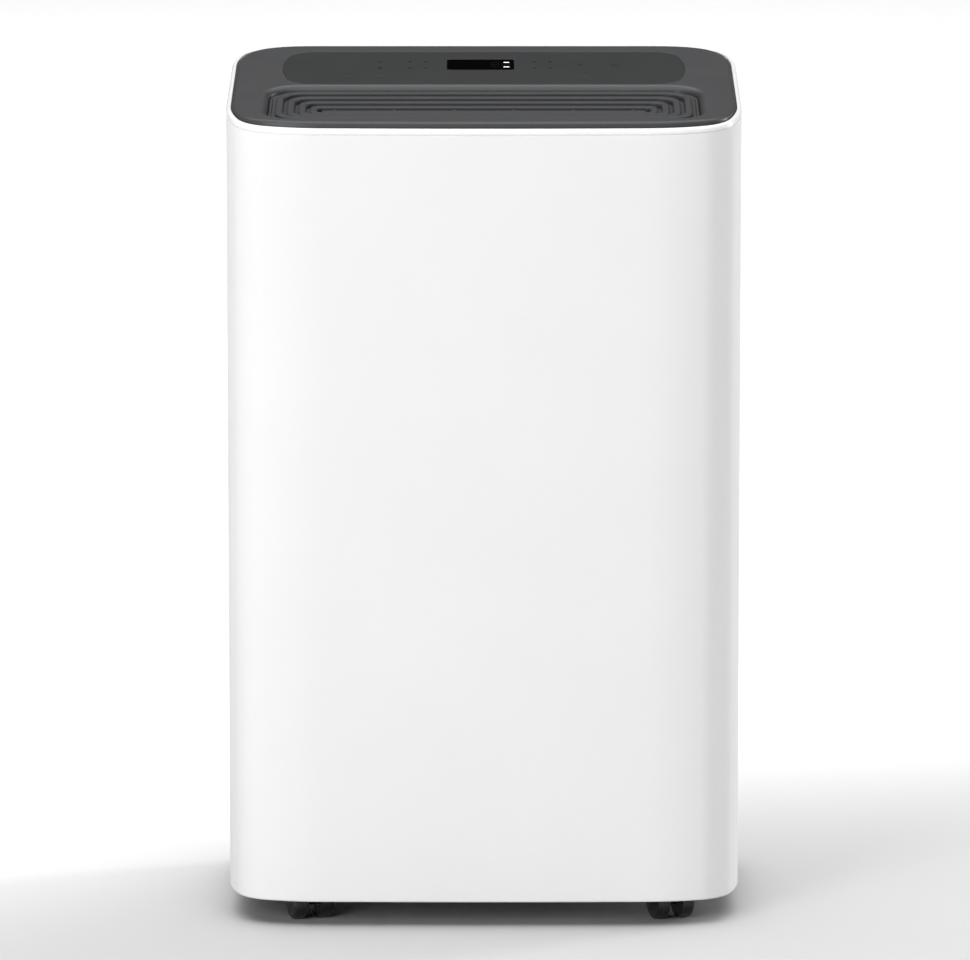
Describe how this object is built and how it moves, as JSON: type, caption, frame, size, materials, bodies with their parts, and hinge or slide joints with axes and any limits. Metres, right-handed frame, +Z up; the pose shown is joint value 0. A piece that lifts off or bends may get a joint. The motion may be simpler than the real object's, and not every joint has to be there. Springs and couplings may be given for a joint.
{
  "type": "compressor dehumidifier",
  "caption": "Upright compressor dehumidifier on swivelling casters, with a sloping dark top, a top air outlet, a rear inlet panel and a slide-out water bucket at the back.",
  "frame": {"origin": "on the floor, under the middle of the casing's bounding box", "axes": "+Z up, +X to the right as seen from the front, the plain front faces -Y and the bucket and air inlet face +Y"},
  "size_m": [0.38, 0.262, 0.63],
  "materials": {
    "casing_white": "fine satin white",
    "bezel_white": "polished white",
    "top_grey": "fine textured dark grey",
    "panel_grey": "smooth dark grey",
    "display_black": "black window",
    "grille_grey": "fine textured dark grey",
    "inner_plastic": "plain moulded",
    "base_plastic": "plain moulded",
    "board_green": "lacquered board",
    "compressor_black": "black enamel",
    "rubber_black": "plain",
    "zinc_steel": "zinc plated",
    "fin_aluminium": "bright foil",
    "copper_tube": "drawn copper",
    "box_steel": "galvanised sheet",
    "motor_steel": "galvanised",
    "foam_white": "closed-cell foam",
    "mesh_black": "woven nylon mesh",
    "bucket_grey": "translucent grey",
    "window_clear": "smoked clear",
    "handle_grey": "plain moulded",
    "caster_black": "plain moulded",
    "tread_black": "smooth"
  },
  "bodies": {
    "cabinet": {"front_casing": "casing_white", "rear_casing": "casing_white", "casing_screws": "zinc_steel", "side_handles": "casing_white", "top_bezel": "bezel_white", "top_cover": "top_grey", "control_panel": "panel_grey", "display_window": "display_black", "display_board": "board_green", "outlet_grille": "grille_grey", "base_pan": "base_plastic", "divider_shelf": "inner_plastic", "compressor": "compressor_black", "compressor_grommets": "rubber_black", "compressor_bolts": "zinc_steel", "evaporator_fins": "fin_aluminium", "evaporator_tubes": "copper_tube", "condenser_fins": "fin_aluminium", "condenser_tubes": "copper_tube", "drain_tray": "inner_plastic", "suction_pipe": "copper_tube", "discharge_pipe": "copper_tube", "fan_scroll": "inner_plastic", "scroll_cover": "inner_plastic", "fan_motor": "motor_steel", "control_box": "box_steel", "control_box_lid": "box_steel", "main_board": "board_green", "run_capacitor": "box_steel", "drain_port": "handle_grey", "cord_gland": "rubber_black", "level_sensor": "inner_plastic", "caster_stems": "zinc_steel"},
    "fan_rotor": {"fan_impeller": "inner_plastic", "motor_shaft": "zinc_steel"},
    "inlet_panel": {"inlet_grille": "casing_white", "filter_frame": "inner_plastic", "filter_mesh": "mesh_black"},
    "water_bucket": {"bucket": "bucket_grey", "bucket_face": "casing_white", "bucket_window": "window_clear"},
    "carry_handle": {"bucket_handle": "handle_grey"},
    "float": {"float_block": "foam_white"},
    "drain_plug": {"drain_cap": "handle_grey"},
    "caster_front_left": {"caster_front_left_housing": "caster_black", "caster_front_left_axle": "zinc_steel"},
    "caster_front_left_wheel_left": {"caster_front_left_wheel_left": "tread_black"},
    "caster_front_left_wheel_right": {"caster_front_left_wheel_right": "tread_black"},
    "caster_front_right": {"caster_front_right_housing": "caster_black", "caster_front_right_axle": "zinc_steel"},
    "caster_front_right_wheel_left": {"caster_front_right_wheel_left": "tread_black"},
    "caster_front_right_wheel_right": {"caster_front_right_wheel_right": "tread_black"},
    "caster_rear_left": {"caster_rear_left_housing": "caster_black", "caster_rear_left_axle": "zinc_steel"},
    "caster_rear_left_wheel_left": {"caster_rear_left_wheel_left": "tread_black"},
    "caster_rear_left_wheel_right": {"caster_rear_left_wheel_right": "tread_black"},
    "caster_rear_right": {"caster_rear_right_housing": "caster_black", "caster_rear_right_axle": "zinc_steel"},
    "caster_rear_right_wheel_left": {"caster_rear_right_wheel_left": "tread_black"},
    "caster_rear_right_wheel_right": {"caster_rear_right_wheel_right": "tread_black"}
  },
  "joints": [
    {"name": "fan_spin", "type": "hinge", "parent": "cabinet", "child": "fan_rotor", "pos_m": [0, -0.06, 0.412], "axis": [0, -1, 0], "continuous": true},
    {"name": "inlet_panel_pull", "type": "slide", "parent": "cabinet", "child": "inlet_panel", "axis": [0, 1, 0], "range_m": [0, 0.05]},
    {"name": "bucket_slide", "type": "slide", "parent": "cabinet", "child": "water_bucket", "axis": [0, 1, 0], "range_m": [0, 0.155]},
    {"name": "handle_lift", "type": "hinge", "parent": "water_bucket", "child": "carry_handle", "pos_m": [0, 0.055, 0.214], "axis": [1, 0, 0], "range_deg": [0, 90]},
    {"name": "float_rise", "type": "slide", "parent": "water_bucket", "child": "float", "axis": [0, 0, 1], "range_m": [0, 0.01]},
    {"name": "drain_cap_pull", "type": "slide", "parent": "cabinet", "child": "drain_plug", "axis": [0, 1, 0], "range_m": [0, 0.03]},
    {"name": "caster_front_left_swivel", "type": "hinge", "parent": "cabinet", "child": "caster_front_left", "pos_m": [-0.1343, -0.0796, 0.038], "axis": [0, 0, 1], "continuous": true},
    {"name": "caster_front_left_wheel_left_roll", "type": "hinge", "parent": "caster_front_left", "child": "caster_front_left_wheel_left", "pos_m": [-0.13017, -0.09402, 0.018], "axis": [0.9613, 0.2756, 0], "continuous": true},
    {"name": "caster_front_left_wheel_right_roll", "type": "hinge", "parent": "caster_front_left", "child": "caster_front_left_wheel_right", "pos_m": [-0.13017, -0.09402, 0.018], "axis": [0.9613, 0.2756, 0], "continuous": true},
    {"name": "caster_front_right_swivel", "type": "hinge", "parent": "cabinet", "child": "caster_front_right", "pos_m": [0.1343, -0.0796, 0.038], "axis": [0, 0, 1], "continuous": true},
    {"name": "caster_front_right_wheel_left_roll", "type": "hinge", "parent": "caster_front_right", "child": "caster_front_right_wheel_left", "pos_m": [0.13843, -0.09402, 0.018], "axis": [0.9613, 0.2756, 0], "continuous": true},
    {"name": "caster_front_right_wheel_right_roll", "type": "hinge", "parent": "caster_front_right", "child": "caster_front_right_wheel_right", "pos_m": [0.13843, -0.09402, 0.018], "axis": [0.9613, 0.2756, 0], "continuous": true},
    {"name": "caster_rear_left_swivel", "type": "hinge", "parent": "cabinet", "child": "caster_rear_left", "pos_m": [-0.1343, 0.0796, 0.038], "axis": [0, 0, 1], "continuous": true},
    {"name": "caster_rear_left_wheel_left_roll", "type": "hinge", "parent": "caster_rear_left", "child": "caster_rear_left_wheel_left", "pos_m": [-0.13017, 0.06518, 0.018], "axis": [0.9613, 0.2756, 0], "continuous": true},
    {"name": "caster_rear_left_wheel_right_roll", "type": "hinge", "parent": "caster_rear_left", "child": "caster_rear_left_wheel_right", "pos_m": [-0.13017, 0.06518, 0.018], "axis": [0.9613, 0.2756, 0], "continuous": true},
    {"name": "caster_rear_right_swivel", "type": "hinge", "parent": "cabinet", "child": "caster_rear_right", "pos_m": [0.1343, 0.0796, 0.038], "axis": [0, 0, 1], "continuous": true},
    {"name": "caster_rear_right_wheel_left_roll", "type": "hinge", "parent": "caster_rear_right", "child": "caster_rear_right_wheel_left", "pos_m": [0.13843, 0.06518, 0.018], "axis": [0.9613, 0.2756, 0], "continuous": true},
    {"name": "caster_rear_right_wheel_right_roll", "type": "hinge", "parent": "caster_rear_right", "child": "caster_rear_right_wheel_right", "pos_m": [0.13843, 0.06518, 0.018], "axis": [0.9613, 0.2756, 0], "continuous": true}
  ]
}
